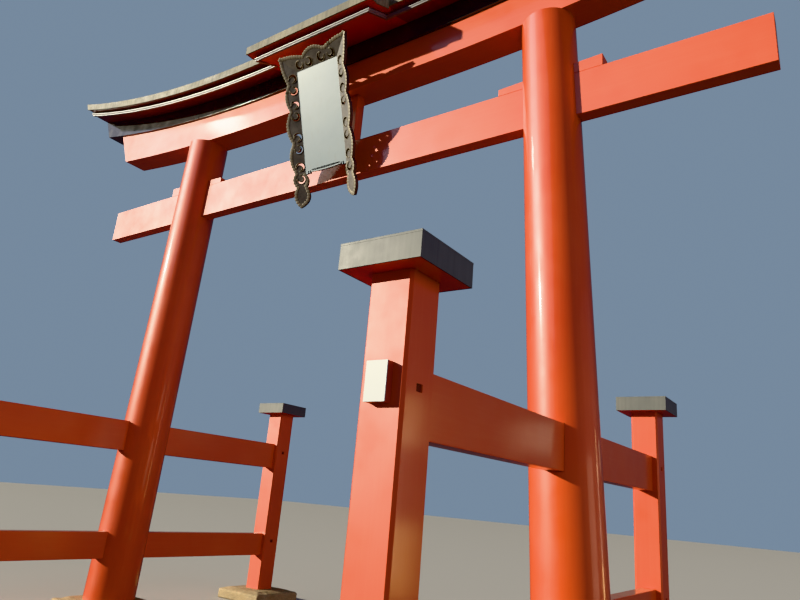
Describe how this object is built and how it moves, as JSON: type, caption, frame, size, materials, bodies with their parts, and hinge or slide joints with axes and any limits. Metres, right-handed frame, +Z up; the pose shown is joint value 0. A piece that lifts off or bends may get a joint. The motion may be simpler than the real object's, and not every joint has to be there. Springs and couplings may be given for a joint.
{
  "type": "torii gate",
  "caption": "Four-legged wooden shrine gate: leaning round pillars with tied square posts, a through beam, double curved lintel, stepped copper-clad roof and a leaning carved plaque.",
  "frame": {"origin": "on the ground in the middle between the two round pillars", "axes": "+X along the gate towards its right side as seen from the front, -Y towards the viewer and the plaque's side, +Z up"},
  "size_m": [10.5704, 5.33, 7.4721],
  "materials": {
    "stone": "rough dressed granite, weathered tan",
    "vermilion": "timber under glossy vermilion lacquer",
    "cap_metal": "weathered sheet metal, dull beige grey",
    "dark_red": "timber painted dark red",
    "peg_wood": "hardwood pegs, very dark red",
    "black_lacquer": "timber under glossy black lacquer",
    "moulding_metal": "sheet metal, silver grey",
    "copper_sheet": "aged copper sheet, pale brown, satin",
    "plaque_face": "painted board, pale blue grey",
    "plaque_bronze": "dark bronze brown with worn pale edges",
    "box_red": "dark red enamel",
    "box_cream": "cream enamel plate"
  },
  "bodies": {
    "root": {"left_pillar_stone": "stone", "right_pillar_stone": "stone", "left_front_stone": "stone", "left_rear_stone": "stone", "right_front_stone": "stone", "right_rear_stone": "stone", "left_pillar": "vermilion", "right_pillar": "vermilion", "left_front_post": "vermilion", "left_rear_post": "vermilion", "right_front_post": "vermilion", "right_rear_post": "vermilion", "left_upper_tie": "vermilion", "left_lower_tie": "vermilion", "right_upper_tie": "vermilion", "right_lower_tie": "vermilion", "nuki": "vermilion", "nuki_wedges": "vermilion", "middle_strut": "vermilion", "shimagi": "vermilion", "left_front_cap": "cap_metal", "left_rear_cap": "cap_metal", "right_front_cap": "cap_metal", "right_rear_cap": "cap_metal", "cap_boards": "dark_red", "left_eaves": "dark_red", "middle_eaves": "dark_red", "right_eaves": "dark_red", "post_pegs": "peg_wood", "kasagi": "black_lacquer", "left_moulding": "moulding_metal", "middle_moulding": "moulding_metal", "right_moulding": "moulding_metal", "left_roof": "copper_sheet", "middle_roof": "copper_sheet", "right_roof": "copper_sheet", "roof_end_plates": "copper_sheet", "ridge": "copper_sheet", "plaque_board": "plaque_face", "plaque_top_frame": "plaque_bronze", "plaque_left_frame": "plaque_bronze", "plaque_right_frame": "plaque_bronze", "plaque_brackets": "plaque_bronze", "small_box": "box_red", "small_box_plate": "box_cream"}
  },
  "joints": []
}
